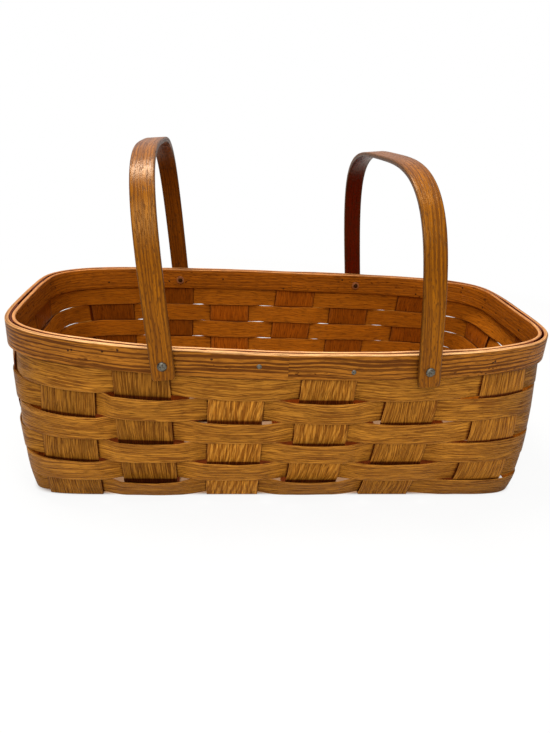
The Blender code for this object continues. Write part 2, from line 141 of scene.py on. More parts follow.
# Points of the outline |x/a|^p + |y/b|^q = 1 from (0, b) to (a, 0): evenly in x up to where
# x/a = y/b, then evenly in y
def quadrant(halfLength, halfWidth, longPower, shortPower, points=500):
    tries = np.linspace(0.5, 1.0, 20001)
    split = tries[np.argmin(np.abs(tries ** longPower + tries ** shortPower - 1.0))]
    x1 = np.linspace(0.0, split, points)
    y2 = np.linspace(split, 0.0, points)[1:]
    x = np.concatenate([x1, (1.0 - y2 ** shortPower) ** (1.0 / longPower)])
    y = np.concatenate([(1.0 - x1 ** longPower) ** (1.0 / shortPower), y2])
    return x * halfLength, y * halfWidth


# The closed outline at one height, by share of its length from the front's middle towards +X
class Ring:
    def __init__(self, height):
        x, y = quadrant(*wallForm(height))
        rightX, rightY = np.concatenate([x, x[-2::-1]]), np.concatenate([-y, y[-2::-1]])
        self.x = np.concatenate([rightX, -rightX[-2::-1]])
        self.y = np.concatenate([rightY, rightY[-2::-1]])
        self.along = lengthAlong(np.stack([self.x, self.y], axis=1))
        self.length = self.along[-1]
        self.along /= self.length
        tangentX, tangentY = np.gradient(self.x, self.along), np.gradient(self.y, self.along)
        size = np.hypot(tangentX, tangentY)
        self.normalX, self.normalY = tangentY / size, -tangentX / size
        self.height = height

    # x, y and outward normal at a share
    def sample(self, share):
        turn = np.mod(share, 1.0)
        return [np.interp(turn, self.along, values)
                for values in (self.x, self.y, self.normalX, self.normalY)]

    # point = outline(share) + offset * outward normal, at the sagged height
    def at(self, share, offset=0.0, height=None):
        x, y, normalX, normalY = self.sample(share)
        x, y = x + offset * normalX, y + offset * normalY
        return np.stack([x, y, sagged(x, self.height if height is None else height)], axis=-1)

    # the share of the outline's point nearest (x, y)
    def shareOf(self, x, y):
        return self.along[np.argmin(np.hypot(self.x - x, self.y - y))]

    # shares of every stake's two edges, in turn from the front's middle
    def stakes(self):
        half = 0.5 * form["stakeWidth"]
        found = []
        for foot, *tops in zip(stakePlaces["foot"], stakePlaces["front"], stakePlaces["back"]):
            for side, top in zip((-1.0, 1.0), tops):
                middle = stakeMiddle(foot, top, self.height)
                found.append([(x, side * sideAt(x, self.height)) for x in (middle - half, middle + half)])
        for ends in zip(stakePlaces["left"], stakePlaces["right"]):
            for side, share in zip((-1.0, 1.0), ends):
                middle = share * rimHalfWidth
                found.append([(side * endAt(y, self.height), y) for y in (middle - half, middle + half)])
        edges = np.array([[self.shareOf(x, y) for x, y in places] for places in found])
        pastEnd = edges < edges.max(axis=1, keepdims=True) - 0.5
        edges = np.sort(np.where(pastEnd, edges + 1.0, edges), axis=1)
        return edges[np.argsort(edges.mean(axis=1))]


# Cubic through knots with slopes that never overshoot: the slope at a knot is the harmonic mean
# of the rises on both sides, or zero at a peak
def smoothThrough(knots, values, at):
    rise = np.diff(values) / np.diff(knots)
    sameWay = rise[:-1] * rise[1:] > 0.0
    inner = 2.0 * rise[:-1] * rise[1:] / np.where(sameWay, rise[:-1] + rise[1:], 1.0)
    slope = np.concatenate([[0.0], np.where(sameWay, inner, 0.0), [0.0]])
    i = np.clip(np.searchsorted(knots, at, side="right") - 1, 0, len(knots) - 2)
    width = knots[i + 1] - knots[i]
    t = (at - knots[i]) / width
    return ((2 * t ** 3 - 3 * t ** 2 + 1) * values[i] + (t ** 3 - 2 * t ** 2 + t) * width * slope[i]
            + (3 * t ** 2 - 2 * t ** 3) * values[i + 1] + (t ** 3 - t ** 2) * width * slope[i + 1])


# Smooth wander along a strip: a sum of three sines with seeded phases, about -1 to 1
def wander(at, seed, pitch):
    random = np.random.default_rng(seed)
    phases = random.uniform(0.0, 2.0 * math.pi, 3)
    rates = 2.0 * math.pi / pitch * np.array([1.0, 1.7, 2.9]) * random.uniform(0.85, 1.15, 3)
    return sum(np.sin(rates[i] * at + phases[i]) / (1 + i) for i in range(3)) / 1.5


# Meshes

meshShape = {
    "skinSharp": 50, "latheSharp": 40,  # degrees past which an edge is sharp
    "edgeTurns": (60.0, 25.0, -25.0, -60.0),  # of a splint's round edge
    "edgeBulge": 0.7,  # that round as a share of half the thickness
    "edgeInset": 0.8,  # a face ends this share of half the thickness before the edge
    "endFrom": 0.180, "endOver": 0.060,  # where a splint's painted end shade begins, and over what length
    "uvShift": 9.0,  # a piece's grain starts at a seeded place up to this far along
    "capShift": 0.5, "capSpread": 0.002,  # place and size of the ends on the UV map
}


def unit(vectors):
    return vectors / np.maximum(np.linalg.norm(vectors, axis=-1, keepdims=True), 1e-12)


def addObject(name, data):
    thing = bpy.data.objects.new(name, data)
    bpy.context.scene.collection.objects.link(thing)
    return thing


def makePiece(name, points, faces, material, sharp):
    mesh = bpy.data.meshes.new(name)
    mesh.from_pydata(points, [], faces)
    mesh.materials.append(material)
    mesh.shade_smooth()
    mesh.set_sharp_from_angle(angle=math.radians(sharp))
    return addObject(name, mesh)


# A piece's body, and the CAD node that it stands for, if any
def settle(piece, body, node):
    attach(piece, body)
    if node:
        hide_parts(node)


# A closed skin through sections of points (stations x ring), with a cap at both ends.
# The UV map holds metres along the strip and metres round its section.
def skin(name, sections, along, marks, seed, material):
    stations, ring = sections.shape[:2]
    i, j = np.meshgrid(np.arange(stations - 1), np.arange(ring), indexing="ij")
    k = (j + 1) % ring
    quads = np.stack([i * ring + j, (i + 1) * ring + j, (i + 1) * ring + k, i * ring + k], axis=-1)
    points = sections.reshape(-1, 3)
    a, b, c = (points[quads[..., n]] for n in (0, 1, 2))
    middle = sections.mean(axis=1)
    facing = np.sum(np.cross(b - a, c - a) * (a - middle[:-1, None]), axis=-1).sum()
    loop = sections[stations // 2]
    around = lengthAlong(np.concatenate([loop, loop[:1]]))
    u = np.stack([along[i], along[i + 1], along[i + 1], along[i]], axis=-1)
    v = np.stack([around[j], around[j], around[j + 1], around[j + 1]], axis=-1)
    first, last = list(range(ring)), [(stations - 1) * ring + n for n in range(ring)]
    if facing < 0.0:
        quads, u, v = quads[..., ::-1], u[..., ::-1], v[..., ::-1]
        first.reverse()
    else:
        last.reverse()
    faces = quads.reshape(-1, 4).tolist() + [first, last]
    piece = makePiece(name, points, faces, material, meshShape["skinSharp"])
    random = np.random.default_rng(seed)
    shift = random.uniform(0.0, meshShape["uvShift"], 2)
    uv = np.stack([u.reshape(-1), v.reshape(-1)], axis=-1) + shift
    spread = random.uniform(0.0, meshShape["capSpread"], (2 * ring, 2))
    capUv = shift + meshShape["capShift"] + spread
    layer = piece.data.uv_layers.new(name="grain")
    layer.data.foreach_set("uv", np.concatenate([uv, capUv]).astype(np.float32).reshape(-1))
    marks = {"tone": 0.0, "paintedShade": 0.0, "figure": 0.0, **marks}
    for mark, values in marks.items():
        attribute = piece.data.attributes.new(mark, "FLOAT", "POINT")
        values = np.broadcast_to(values, (stations, ring)).astype(np.float32)
        attribute.data.foreach_set("value", values.reshape(-1))
    return piece


# Sections of a splint from its middle surface (stations x columns), with the marks of its edges
# and of the face towards the basket's middle. Each section runs along one face, round the far
# edge, back along the other face and round the near edge; a face lies half the thickness from
# the middle along the surface's normal, and the edges are half rounds.
def splintSections(middle):
    columns, turns = middle.shape[1], np.radians(meshShape["edgeTurns"])
    across = unit(np.gradient(middle, axis=1))
    normal = unit(np.cross(np.gradient(middle, axis=0), np.gradient(middle, axis=1)))
    half = 0.5 * splint

    def roundEdge(column, sign):
        outward = meshShape["edgeBulge"] * across[:, column]
        return np.stack([middle[:, column] + sign * half * (
            math.sin(t) * normal[:, column] + (math.cos(t) - 1.0) * outward) for t in turns], axis=1)

    face = middle.copy()
    face[:, 0] += meshShape["edgeInset"] * half * across[:, 0]
    face[:, -1] -= meshShape["edgeInset"] * half * across[:, -1]
    sections = np.concatenate([face + half * normal, roundEdge(-1, 1.0),
                               (face - half * normal)[:, ::-1], roundEdge(0, -1.0)], axis=1)
    edge = np.concatenate([np.zeros(columns), np.ones(len(turns))] * 2)
    edge[[0, columns - 1, columns + len(turns), 2 * columns + len(turns) - 1]] = 0.5
    back = np.repeat([0.0, 1.0, 0.0], (columns + len(turns), columns, len(turns)))
    centre = columns // 2
    if np.sum((sections[0, centre] - middle[0, centre])[:2] * middle[0, centre, :2]) < 0.0:
        back = 1.0 - back
    return sections, edge, back


# A splint along its middle surface. covers are the shares of its outer and inner faces that get
# painted shade, mostly where they lie under another splint, by station; the end values lighten or
# darken its outside round the two ends, a painted shade where less light reaches them.
def makeSplint(name, middle, covers, tone, figure, paintedEndShades, seed, material, slot):
    sections, edge, back = splintSections(middle)
    x = sections[..., 0]
    # painted shade: the outside darker towards the two ends
    towardEnd = clamp((np.abs(x) - meshShape["endFrom"]) / meshShape["endOver"])
    tone = tone + np.where(x < 0.0, *paintedEndShades) * towardEnd * (1.0 - back)
    # painted shade on each face where it is covered
    paintedShade = covers[0][:, None] * (1.0 - back) + covers[1][:, None] * back
    marks = {"edge": edge, "back": back, "paintedShade": paintedShade, "tone": tone, "figure": figure}
    along = lengthAlong(middle[:, middle.shape[1] // 2])
    settle(skin(name + "_splint", sections, along, marks, seed, material), "basket", name)


# Materials

# The node tree of a material or world
class Tree:
    def __init__(self, owner):
        owner.use_nodes = True
        self.owner = owner
        self.nodes, self.links = owner.node_tree.nodes, owner.node_tree.links
        self.shader = self.nodes.get("Principled BSDF")

    # a socket is linked, and a number or a colour is set
    def plug(self, socket, value):
        if isinstance(value, bpy.types.NodeSocket):
            self.links.new(value, socket)
        else:
            socket.default_value = (*value, 1.0) if isinstance(value, tuple) else value

    def add(self, kind, sockets=None, **settings):
        node = self.nodes.new(kind)
        for name, value in settings.items():
            setattr(node, name, value)
        for name, value in (sockets or {}).items():
            self.plug(node.inputs[name], value)
        return node

    def math(self, operation, *values):
        node = self.add("ShaderNodeMath", operation=operation)
        for socket, value in zip(node.inputs, values):
            self.plug(socket, value)
        return node.outputs[0]

    def plus(self, *values):
        return self.math("ADD", *values)

    def minus(self, *values):
        return self.math("SUBTRACT", *values)

    def times(self, *values):
        return self.math("MULTIPLY", *values)

    def noise(self, vector, scale, detail=2.0, roughness=0.5):
        sockets = {"Vector": vector, "Scale": scale, "Detail": detail, "Roughness": roughness}
        return self.add("ShaderNodeTexNoise", sockets).outputs[0]

    # from 0 to 1 along a smooth S between two values
    def ramp(self, value, low, high):
        node = self.add("ShaderNodeMapRange", {"Value": value, "From Min": low, "From Max": high})
        node.interpolation_type = "SMOOTHSTEP"
        return node.outputs[0]

    def mix(self, share, first, second, blend="MIX"):
        node = self.add("ShaderNodeMix", data_type="RGBA", blend_type=blend)
        for socket, value in ((0, share), (6, first), (7, second)):
            self.plug(node.inputs[socket], value)
        return node.outputs[2]

    def attribute(self, name):
        return self.add("ShaderNodeAttribute", attribute_name=name).outputs["Fac"]

    # colour, roughness and bump of the finished shader
    def finish(self, colour, roughness, height, strength, distance):
        bump = self.add("ShaderNodeBump", {"Height": height, "Strength": strength, "Distance": distance})
        for name, value in (("Base Color", colour), ("Roughness", roughness), ("Normal", bump.outputs[0])):
            self.plug(self.shader.inputs[name], value)
        return self.owner

    # the output shows two shader nodes mixed by a share
    def show(self, share, first, second, output):
        mixed = self.add("ShaderNodeMixShader", {"Fac": share})
        self.plug(mixed.inputs[1], first.outputs[0])
        self.plug(mixed.inputs[2], second.outputs[0])
        self.plug(self.nodes[output].inputs["Surface"], mixed.outputs[0])


# Layers of noise in the oak: rates per metre along and across the strip, depth in the noise,
# detail and roughness; with two more numbers the layer is a mask that rises between them
grainLayers = {
    "drift": (7.0, 22.0, 0.0, 2.0, 0.5),
    "ripple": (50.0, 160.0, 3.0, 2.0, 0.5),
    "stray": (40.0, 90.0, 23.0, 2.0, 0.5),
    "flame": (25.0, 500.0, 25.0, 1.5, 0.5),
    "fibre": (45.0, 950.0, 7.0, 3.0, 0.65),
    "blotch": (16.0, 60.0, 11.0, 2.0, 0.5),
    "pits": (160.0, 520.0, 31.0, 1.0, 0.5, 0.62, 0.67),
    "pitPatches": (11.0, 70.0, 33.0, 1.0, 0.5, 0.55, 0.62),
    "edge": (60.0, 900.0, 13.0, 2.0, 0.5, 0.3, 0.7),
}


# Varnished oak. The grain is noise stretched along the strip: broad rings, dark lines a few
# millimetres apart that a sine across the strip evens out, fine fibres and short dark pores. Where
# the piece's figure is strong there are slanted flames: a sine whose phase strays with noise. The
# face towards the basket's middle is plainer, and its colour is multiplied by the look's back
# colour: a painted shade, darker and redder like the dim inside of the basket, on hoops, stakes and
# bands, and the oak's own darker inner face on the handles. Where a face lies under another splint
# it is darkened to dark maroon, a painted shade. Each look gives a layer's share, and its sizes in
# metres or as a layer of noise.
def oak(name, look):
    tree = Tree(bpy.data.materials.new(name))
    plus, minus, times, ramp = tree.plus, tree.minus, tree.times, tree.ramp
    uv = tree.add("ShaderNodeUVMap", uv_map="grain").outputs[0]
    split = tree.add("ShaderNodeSeparateXYZ", {"Vector": uv})
    along, across = split.outputs["X"], split.outputs["Y"]
    layers = {**look, **grainLayers}

    def grain(sideways, layer):
        alongRate, acrossRate, depth, detail, roughness, *edges = layers[layer]
        sockets = {"X": times(along, alongRate), "Y": times(sideways, acrossRate), "Z": depth}
        place = tree.add("ShaderNodeCombineXYZ", sockets).outputs[0]
        value = tree.noise(place, 1.0, detail, roughness)
        return ramp(value, *edges) if edges else value

    strayed = plus(across, times(minus(grain(across, "drift"), 0.5), look["drift"]))
    strayed = plus(strayed, times(minus(grain(across, "ripple"), 0.5), look["ripple"]))
    back = tree.attribute("back")
    plain = minus(1.0, times(back, look["backPlain"]))
    rings = times(grain(strayed, "rings"), plain)
    comb = tree.math("SINE", times(strayed, 2.0 * math.pi / look["combPitch"]))
    lines = ramp(plus(grain(strayed, "lines"), times(comb, look["comb"])), *look["lineEdges"])
    lines = times(lines, plain)
    slanted = plus(strayed, times(along, look["slant"]))
    phase = times(slanted, 2.0 * math.pi / look["flamePitch"])
    phase = plus(phase, times(grain(across, "stray"), look["flameStray"]))
    flame = plus(times(tree.math("SINE", phase), look["flameWave"]), grain(slanted, "flame"))
    figure = times(tree.attribute("figure"), plain)
    flames, glow = (times(ramp(flame, *look[key]), figure) for key in ("flameEdges", "glowEdges"))
    fibre, pores = grain(strayed, "fibre"), grain(strayed, "pores")
    pits = times(grain(across, "pits"), grain(across, "pitPatches"))
    wood = look["light"]
    for mask, share, colour in ((rings, "ringShare", "dark"), (lines, "lineShare", "dark"),
                                (flames, "flameShare", "dark"), (glow, "flameShare", "pale"),
                                (ramp(fibre, *look["fibreEdges"]), "fibreShare", "dark"),
                                (pores, "poreShare", "pore"), (pits, "pitShare", "pore")):
        wood = tree.mix(times(mask, look[share]), wood, look[colour])
    tone = plus(times(minus(grain(across, "blotch"), 0.5), look["blotch"]), tree.attribute("tone"))
    wood = tree.add("ShaderNodeHueSaturation", {"Value": plus(tone, 1.0), "Color": wood}).outputs[0]
    # back faces: painted shade, darker and redder, on hoops, stakes and bands; the handles' own darker inner
    # face
    wood = tree.mix(back, wood, look["backColour"], "MULTIPLY")
    edge = times(tree.attribute("edge"), plus(times(grain(across, "edge"), 0.5), 0.5))
    edge = times(edge, minus(1.0, times(lines, look["edgeLines"])))
    wood = tree.mix(times(edge, look["edgeShare"]), wood, look["edgeColour"])
    # painted shade: dark maroon in the crevices where another splint covers the face
    paintedShade = tree.mix(1.0, wood, look["paintedShadeColour"], "MULTIPLY")
    wood = tree.mix(times(tree.attribute("paintedShade"), look["paintedShadeShare"]), wood, paintedShade)
    rough = plus(plus(times(fibre, look["fibreRough"]), look["roughness"]), times(pores, look["poreRough"]))
    low = plus(times(lines, look["lineDepth"]), times(pores, look["poreDepth"]))
    height = minus(times(fibre, look["fibreHeight"]), low)
    tree.plug(tree.shader.inputs["Specular IOR Level"], look["specular"])
    tree.plug(tree.shader.inputs["Specular Tint"], look["glint"])
    return tree.finish(wood, rough, height, look["bump"], look["bumpDepth"])


hoopLook = {
    "light": (0.432, 0.173, 0.018), "dark": (0.150, 0.045, 0.004), "pore": (0.060, 0.014, 0.001),
    "pale": (0.500, 0.225, 0.032),
    "drift": 0.022, "ripple": 0.0018,
    "rings": (3.0, 1.0 / 0.0060, 5.0, 1.0, 0.5, 0.45, 0.62), "ringShare": 0.30,
    "lines": (22.0, 1.0 / 0.00075, 21.0, 1.5, 0.45), "lineEdges": (0.490, 0.560), "lineShare": 0.90,
    "comb": 0.03, "combPitch": 0.0030,
    "flamePitch": 0.0056, "slant": 0.20, "flameStray": 9.0, "flameWave": 0.10,
    "flameEdges": (0.47, 0.57), "glowEdges": (0.48, 0.38), "flameShare": 0.46,
    "fibreEdges": (0.40, 0.70), "fibreShare": 0.55,
    "pores": (90.0, 1100.0, 9.0, 1.0, 0.5, 0.56, 0.66), "poreShare": 0.50,
    "blotch": 0.30, "pitShare": 0.0,
    # colour of the inner faces: a painted shade, darker and redder like the dim inside of the basket
    "backPlain": 0.60, "backColour": (1.12, 0.78, 0.34),
    "edgeShare": 0.20, "edgeLines": 0.55, "edgeColour": (0.45, 0.19, 0.05),
    # painted shade in the crevices under other splints: its share and colour
    "paintedShadeShare": 0.92, "paintedShadeColour": (0.20, 0.050, 0.03),
    "roughness": 0.32, "fibreRough": 0.22, "poreRough": 0.15,
    "specular": 0.10, "glint": (1.0, 0.70, 0.40),
    "bump": 0.7, "bumpDepth": 0.0004, "fibreHeight": 0.5, "lineDepth": 0.5, "poreDepth": 0.8,
}
# the stakes' inner faces take a painted shade too, darker and redder
stakeLook = dict(hoopLook, light=(0.425, 0.167, 0.017), dark=(0.145, 0.042, 0.003),
                 lines=(24.0, 1.0 / 0.0008, 21.0, 1.5, 0.45), blotch=0.40,
                 backPlain=0.75, backColour=(0.80, 0.46, 0.20))
# the bands' faces towards the wall take a painted shade too, darker and redder
bandLook = dict(hoopLook, light=(0.345, 0.122, 0.012), dark=(0.075, 0.018, 0.002),
                lines=(7.0, 1.0 / 0.0014, 21.0, 1.5, 0.45), lineEdges=(0.48, 0.54), lineShare=0.88,
                ringShare=0.10, comb=0.11, combPitch=0.0038, drift=0.012, pitShare=0.9,
                backColour=(1.08, 0.79, 0.36), edgeColour=(0.90, 0.49, 0.20), edgeShare=0.90)
handleLook = dict(hoopLook, light=(0.265, 0.082, 0.001), dark=(0.080, 0.018, 0.001),
                  lines=(8.0, 1.0 / 0.0014, 21.0, 1.5, 0.45), lineShare=0.70, comb=0.06,
                  drift=0.010, ripple=0.0012,
                  pores=(150.0, 800.0, 9.0, 1.0, 0.5, 0.56, 0.66), poreShare=0.70,
                  backColour=(0.38, 0.06, 0.04), edgeColour=(0.050, 0.018, 0.003), edgeShare=0.85,
                  roughness=0.20, specular=0.34, glint=(1.0, 0.60, 0.22), bump=0.3)
hoopOak, stakeOak = oak("hoopOak", hoopLook), oak("stakeOak", stakeLook)
bandOak, handleOak = oak("bandOak", bandLook), oak("handleOak", handleLook)


# Worn steel with a brown film in its low places
def wornSteel(name, look):
    tree = Tree(bpy.data.materials.new(name))
    place = tree.add("ShaderNodeTexCoord").outputs["Object"]
    scratches = tree.noise(place, look["scratchRate"], 4.0, 0.7)
    film = tree.ramp(tree.noise(place, look["filmRate"]), *look["filmEdges"])
    colour = tree.mix(tree.times(film, look["filmShare"]), look["steel"], look["film"])
    rough = tree.plus(tree.times(scratches, look["scratchRough"]), look["roughness"])
    tree.plug(tree.shader.inputs["Metallic"], look["metal"])
    return tree.finish(colour, rough, scratches, look["bump"], look["bumpDepth"])


steelLook = {"steel": (0.150, 0.140, 0.115), "film": (0.035, 0.020, 0.010), "filmShare": 0.9,
             "filmRate": 700.0, "filmEdges": (0.45, 0.7), "scratchRate": 2600.0, "scratchRough": 0.3,
             "roughness": 0.38, "metal": 1.0, "bump": 0.4, "bumpDepth": 0.0002}
bradLook = dict(steelLook, steel=(0.080, 0.030, 0.010), film=(0.020, 0.007, 0.003))
burrLook = dict(steelLook, steel=(0.300, 0.085, 0.012), film=(0.170, 0.042, 0.005), roughness=0.45, metal=0.1)
rivetSteel, bradSteel = wornSteel("rivetSteel", steelLook), wornSteel("bradSteel", bradLook)
burrSteel = wornSteel("burrSteel", burrLook)
print("materials made")


# Stakes: strips down one wall, across the bottom and up the other

stakeShape = {
    "topInset": 0.0005,  # below the rim's top
    "columns": 13,
    "rowStep": 0.0012,  # down the wall
    "bendRows": 8,
    "wave": 0.0006,  # in and out with the rows that hold it
    "edgeWander": 0.0004, "edgePitch": 0.07,
    "legApart": 0.4,  # how far apart the two legs lie along that wander
    "step": 0.003,  # along the bottom
    "paintedShadeReach": (0.0004, 0.0018),  # the painted shade starts this far above a hoop's edge
    "paintedShadeBelow": 0.0003, "paintedShadeFade": 0.0008,
    "bottomShade": 0.85,  # share of that painted shade over the bottom, inside
    "footLevel": 0.0008,  # of a cross stake's middle surface at the foot of the wall
    "footReach": 0.024,  # and it rises to the bottom's level over this length
    # tone, lighter or darker as a share, and strength of the figure
    "crossTones": ((-0.28, 0.30), (-0.26, 0.10), (0.20, 1.0), (0.10, 0.9), (-0.08, 0.3), (-0.03, 0.4)),
    "longTones": ((-0.06, 0.3), (0.02, 0.5)),
}


# The row that a height lies in, counted down from the weave's top in row heights
def rowAt(height):
    return (weaveTop - height) / rowPitch


# Offset of a stake from the wall: a cosine in height, out where the hoop of that row passes
# inside. Its place is the stake's number round the wall from the front's middle.
def stakeWave(height, place):
    fade = clamp(rowAt(height)) * clamp(height / rowPitch)
    return stakeShape["wave"] * np.cos(math.pi * (rowAt(height) - 0.5 - place)) * fade


# Cover by a hoop, 0 to 1 at each height, of a stake's outer face and of its inner face: there it gets painted
# shade
def stakeCover(heights, place):
    random = np.random.default_rng(seeds["cover"] + place)
    faces = []
    for outside in (True, False):
        cover = np.zeros(len(heights))
        for row in range(rows):
            if ((place + row) % 2 == 1) == outside:
                top = weaveTop - row * rowPitch + random.uniform(*stakeShape["paintedShadeReach"])
                bottom = weaveTop - (row + 1) * rowPitch - stakeShape["paintedShadeBelow"]
                inside = [clamp(d / stakeShape["paintedShadeFade"]) for d in (heights - bottom, top - heights)]
                cover = np.maximum(cover, inside[0] * inside[1])
        faces.append(np.where(heights > weaveTop, 1.0, cover))
    return faces


# One leg from the wall's top to the bottom's edge: points (station, column, xyz) and the cover of
# both faces. The bend is a quadratic curve between the wall's lowest point and the bottom.
def stakeLeg(wallPoint, outward, place, level):
    top = rimTop - stakeShape["topInset"]
    heights = np.linspace(top, weaveFoot, int((top - weaveFoot) / stakeShape["rowStep"]))
    wall = np.stack([wallPoint(h) + stakeWave(h, place) * outward for h in heights])
    low = wall[-1]
    foot = low - form["bendRadius"] * outward
    foot[:, 2] = level
    corner = np.stack([low[:, 0], low[:, 1], foot[:, 2]], axis=-1)
    t = (np.arange(1, stakeShape["bendRows"] + 1) / stakeShape["bendRows"])[:, None, None]
    points = np.concatenate([wall, (1 - t) ** 2 * low + 2 * t * (1 - t) * corner + t ** 2 * foot])
    cover = [np.concatenate([face, np.repeat(face[-1:], len(t))]) for face in stakeCover(heights, place)]
    return points, cover


# Columns across a stake. Its edges wander a little down its length.
def stakeColumns(seed, height, side):
    shares = np.linspace(-1.0, 1.0, stakeShape["columns"])
    stray = wander(height + side * stakeShape["legApart"], seed, stakeShape["edgePitch"])
    return 0.5 * form["stakeWidth"] * shares + stakeShape["edgeWander"] * stray * np.abs(shares)


# The first leg, the bottom and the second leg as one strip
def finishStake(name, first, bottom, second, look, seed):
    middle = np.concatenate([first[0], bottom, second[0][::-1]])
    covers = [np.concatenate([a, np.full(len(bottom), shade), b[::-1]])
              for a, shade, b in zip(first[1], (0.0, stakeShape["bottomShade"]), second[1])]
    makeSplint(name, middle, covers, *look, (0.0, 0.0), seed, stakeOak, "stake_oak")


# Down the front wall, straight across and up the back wall. At both feet the strip rises from the
# floor to the bottom's level by 3t^2 - 2t^3. The legs' numbers round the wall run from the fourth
# stake's front leg, 0.
def makeCrossStake(index):
    seed = seeds["crossStake"] + index
    foot, *tops = (stakePlaces[wall][index] for wall in ("foot", "front", "back"))
    legs = []
    for side, top, place in ((-1.0, tops[0], (index - 3) % legCount), (1.0, tops[1], 10 - index)):
        def wallPoint(height):
            x = stakeMiddle(foot, top, height) + stakeColumns(seed, height, side)
            return np.stack([x, side * sideAt(x, height), sagged(x, height)], axis=-1)
        legs.append(stakeLeg(wallPoint, np.array([0.0, side, 0.0]), place, stakeShape["footLevel"]))
    start, end = legs[0][0][-1], legs[1][0][-1]
    length = end[0, 1] - start[0, 1]
    count = int(length / stakeShape["step"])
    t = (np.arange(1, count) / count)[:, None, None]
    bottom = start * (1 - t) + end * t
    up = clamp(np.minimum(t, 1.0 - t) * length / stakeShape["footReach"])[..., 0]
    bottom[..., 2] += (stakeLevel - stakeShape["footLevel"]) * (up * up * (3.0 - 2.0 * up))
    finishStake(f"cross_stake_{index + 1}", legs[0], bottom, legs[1], stakeShape["crossTones"][index], seed)


# Down the left end, under and over the cross stakes by turns, with a monotone cubic between the
# levels, and up the right end
def makeLongStake(index, name, places):
    seed = seeds["longStake"] + index
    under, over = 0.5 * splint, stakeLevel + splint + gap
    legs = []
    for side, wall, place in ((-1.0, "left", places[0]), (1.0, "right", places[1])):
        def wallPoint(height):
            y = stakePlaces[wall][index] * rimHalfWidth + stakeColumns(seed, height, side)
            x = side * endAt(y, height)
            return np.stack([x, y, sagged(x, height)], axis=-1)
        legs.append(stakeLeg(wallPoint, np.array([side, 0.0, 0.0]), place, stakeLevel))
    start, end = legs[0][0][-1], legs[1][0][-1]
    reach = 0.5 * form["stakeWidth"] + gap
    knotX, knotZ = [start[:, 0].mean()], [stakeLevel]
    for i, foot in enumerate(stakePlaces["foot"]):
        knotX += [foot * footHalfLength - reach, foot * footHalfLength + reach]
        knotZ += [under if (i + index) % 2 == 0 else over] * 2
    knotX, knotZ = np.array(knotX + [end[:, 0].mean()]), np.array(knotZ + [stakeLevel])
    count = int((knotX[-1] - knotX[0]) / (0.5 * stakeShape["step"]))
    t = (np.arange(1, count) / count)[:, None]
    x, y = (start[:, axis] * (1 - t) + end[:, axis] * t for axis in (0, 1))
    z = np.broadcast_to(smoothThrough(knotX, knotZ, knotX[0] + t * (knotX[-1] - knotX[0])), x.shape)
    finishStake(name, legs[0], np.stack([x, y, z], axis=-1), legs[1], stakeShape["longTones"][index], seed)


for index in range(len(stakePlaces["foot"])):
    makeCrossStake(index)
makeLongStake(0, "long_stake_front", (12, 3))
makeLongStake(1, "long_stake_back", (11, 4))
print("stakes made")


# Hoops: one woven strip for each row, its two ends lapped at the left end

hoopShape = {
    # of the middle surface off the wall where it passes outside a stake's middle: the lower edge
    # as a share of the upper, which is given for each stake round the wall from the front's middle
    "lowShare": 0.55,
    "outside": (0.0060, 0.0044, 0.0025, 0.0024, 0.0030, 0.0034, 0.0038, 0.0040,
                0.0040, 0.0040, 0.0036, 0.0014, 0.0020, 0.0064, 0.0072, 0.0060),
    "inside": (0.0034, 0.0034, 0.0022, 0.0020, 0.0022, 0.0024, 0.0024, 0.0024,
               0.0024, 0.0024, 0.0022, 0.0022, 0.0022, 0.0030, 0.0034, 0.0034),
    "edgeShares": (0.72, 0.92),  # shares over the stake's edges, outside and inside
    "heldShare": 0.45,  # and at the top hoop's upper edge, which the rim holds
    "weaveSpread": 0.16,  # how much it differs from stake to stake, as a share
    "columns": 9,
    "step": 0.0016,
    "edgeWander": 0.0004, "edgePitch": 0.11,
    "startBefore": -0.22,  # its ends lap behind a stake whose x is less than this
    "lapKnots": 8,
    "lapDrop": 0.0014,  # the lap's second layer lies this much further in
    "lapEase": 0.6,  # and gets there over this many knots
    "footLift": 0.0008,  # of the lowest hoop's edge where it passes inside a stake's foot
    "footLowShare": 0.25,  # its lower edge's share instead of lowShare
    # how far an edge reaches past the row's, where the next hoop lies on the stake's other side
    "tuck": (0.0, 0.0, 0.0004, 0.0012, 0.0012, 0.0012, 0.0010, 0.0010,
             0.0010, 0.0010, 0.0012, 0.0016, 0.0010, 0.0, 0.0, 0.0),
    "coverReach": 1.10, "coverFade": 0.05,  # of the painted shade, in knots either side of a stake's middle
    "toneSpread": 0.05,
    "paintedEndShades": (-0.28, -0.40),  # painted shade, darker round the left and right ends' outside where less light falls
}


# Knots of a hoop's edge over one whole turn, at each stake's edges and middle and between the
# stakes: offset from the wall, out and in by turns, and lift where it passes inside
def hoopKnots(ring, row, v, held, lift):
    shape, stakes = hoopShape, ring.stakes()
    following = np.append(stakes[1:, 0], stakes[0, 0] + 1.0)
    outside = (np.arange(len(stakes)) + row) % 2 == 1
    middles = stakes.mean(axis=1)
    spread = np.random.default_rng(seeds["weave"] + row).uniform(-1.0, 1.0, len(stakes))
    low = shape["footLowShare" if row == rows - 1 else "lowShare"]
    rise = (low + (1.0 - low) * v) * (1.0 + shape["weaveSpread"] * spread)
    weave = held * np.where(outside, np.array(shape["outside"]) * rise, -np.array(shape["inside"]))
    knots = np.stack([stakes[:, 0], middles, stakes[:, 1], 0.5 * (stakes[:, 1] + following)], axis=1)
    edges = np.where(outside, *shape["edgeShares"]) * weave
    lifts = np.stack([np.where(outside, 0.0, 1.0)] * 3 + [np.full(len(stakes), 0.5)], axis=1) * lift
    lifts[:, :3] += (np.array(shape["tuck"]) * np.where(outside, v - 1.0, v))[:, None]
    offsets = np.stack([edges, weave, edges, 0.0 * edges], axis=1)
    return knots.reshape(-1), offsets.reshape(-1), lifts.reshape(-1)


